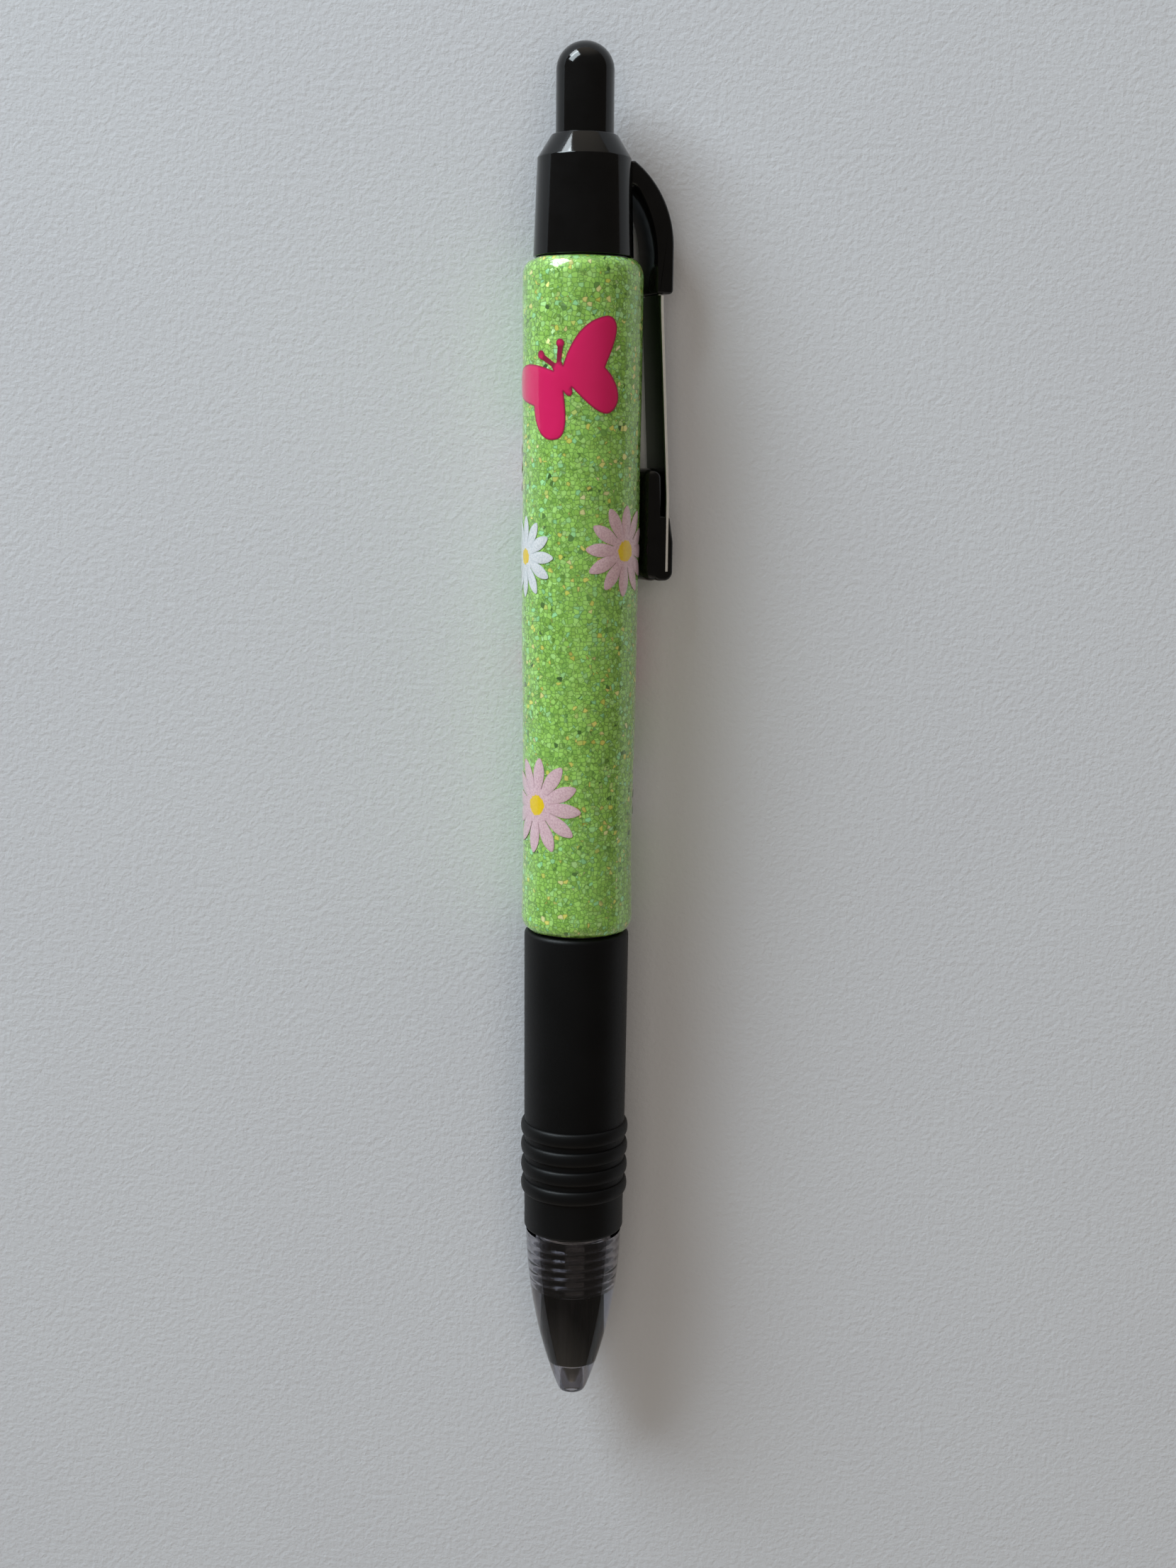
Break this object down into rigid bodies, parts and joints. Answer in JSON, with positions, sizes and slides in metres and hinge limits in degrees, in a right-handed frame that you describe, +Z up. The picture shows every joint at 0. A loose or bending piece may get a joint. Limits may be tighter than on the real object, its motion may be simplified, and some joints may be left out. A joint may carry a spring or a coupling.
{
  "type": "retractable gel pen",
  "caption": "Click gel pen lying on its side: glitter sleeve with sequins, ringed rubber grip, clear screw-on nose, sprung push button, steel leaf clip.",
  "frame": {"origin": "centre of the pen's footprint, on the plane that it lies on", "axes": "+Y along the pen from the nose to the push button, +Z up, the clip on the +X side and rolled down to the plane"},
  "size_m": [0.0164, 0.145, 0.0127],
  "materials": {
    "sleeve_glitter": "clear resin over lime holographic glitter",
    "sequin_pink": "hot pink film under clear resin",
    "sequin_white": "white film with a printed yellow centre",
    "sequin_blush": "pale pink film with a printed yellow centre",
    "black_gloss": "polished black moulding",
    "black_rubber": "soft matte grip",
    "smoke_clear": "clear, slightly smoky moulding",
    "tube_clear": "translucent extrusion",
    "spring_steel": "drawn wire",
    "leaf_steel": "bright rolled strip",
    "point_steel": "turned point",
    "carbide": "polished ball",
    "white_plastic": "acetal moulding",
    "grey_plastic": "acetal moulding",
    "ink_gel": "gel ink",
    "follower_grease": "translucent follower grease"
  },
  "bodies": {
    "pen_body": {"barrel": "black_gloss", "rubber_grip": "black_rubber", "glitter_sleeve": "sleeve_glitter", "butterfly_1": "sequin_pink", "butterfly_2": "sequin_pink", "daisy_1": "sequin_white", "daisy_2": "sequin_blush", "daisy_3": "sequin_blush", "daisy_4": "sequin_white", "daisy_5": "sequin_blush", "rear_housing": "black_gloss", "cam_sleeve": "grey_plastic", "return_spring": "spring_steel"},
    "nose": {"nose_cone": "smoke_clear"},
    "clip": {"clip_leaf": "leaf_steel", "clip_tip": "black_gloss"},
    "button": {"push_button": "black_gloss"},
    "rotor": {"cam_rotor": "white_plastic"},
    "refill": {"refill_tube": "tube_clear", "refill_ink": "ink_gel", "refill_follower": "follower_grease", "refill_tail_plug": "white_plastic", "refill_nose": "white_plastic", "refill_point": "point_steel", "point_ball": "carbide"}
  },
  "joints": [
    {"name": "button_slide", "type": "slide", "parent": "pen_body", "child": "button", "axis": [0, -1, 0], "range_m": [0, 0.0055], "stiffness_N_per_m": 300},
    {"name": "rotor_turn", "type": "hinge", "parent": "button", "child": "rotor", "pos_m": [-0.00177, 0.0445, 0.00623], "axis": [0, 1, 0], "range_deg": [0, 45]},
    {"name": "refill_slide", "type": "slide", "parent": "pen_body", "child": "refill", "axis": [0, -1, 0], "range_m": [0, 0.0055], "deforming": ["return_spring"]},
    {"name": "nose_cone_off", "type": "slide", "parent": "pen_body", "child": "nose", "axis": [0, -1, 0], "range_m": [0, 0.025]},
    {"name": "clip_flex", "type": "hinge", "parent": "pen_body", "child": "clip", "pos_m": [0.00551, 0.048, 0.00288], "axis": [0.4187, 0, 0.9081], "range_deg": [0, 4], "stiffness_Nm_per_rad": 0.5}
  ],
  "couplings": [
    {"joint": "rotor_turn", "follows": "button_slide", "rad_per_m": 142.79},
    {"joint": "refill_slide", "follows": "button_slide", "ratio": 1}
  ]
}
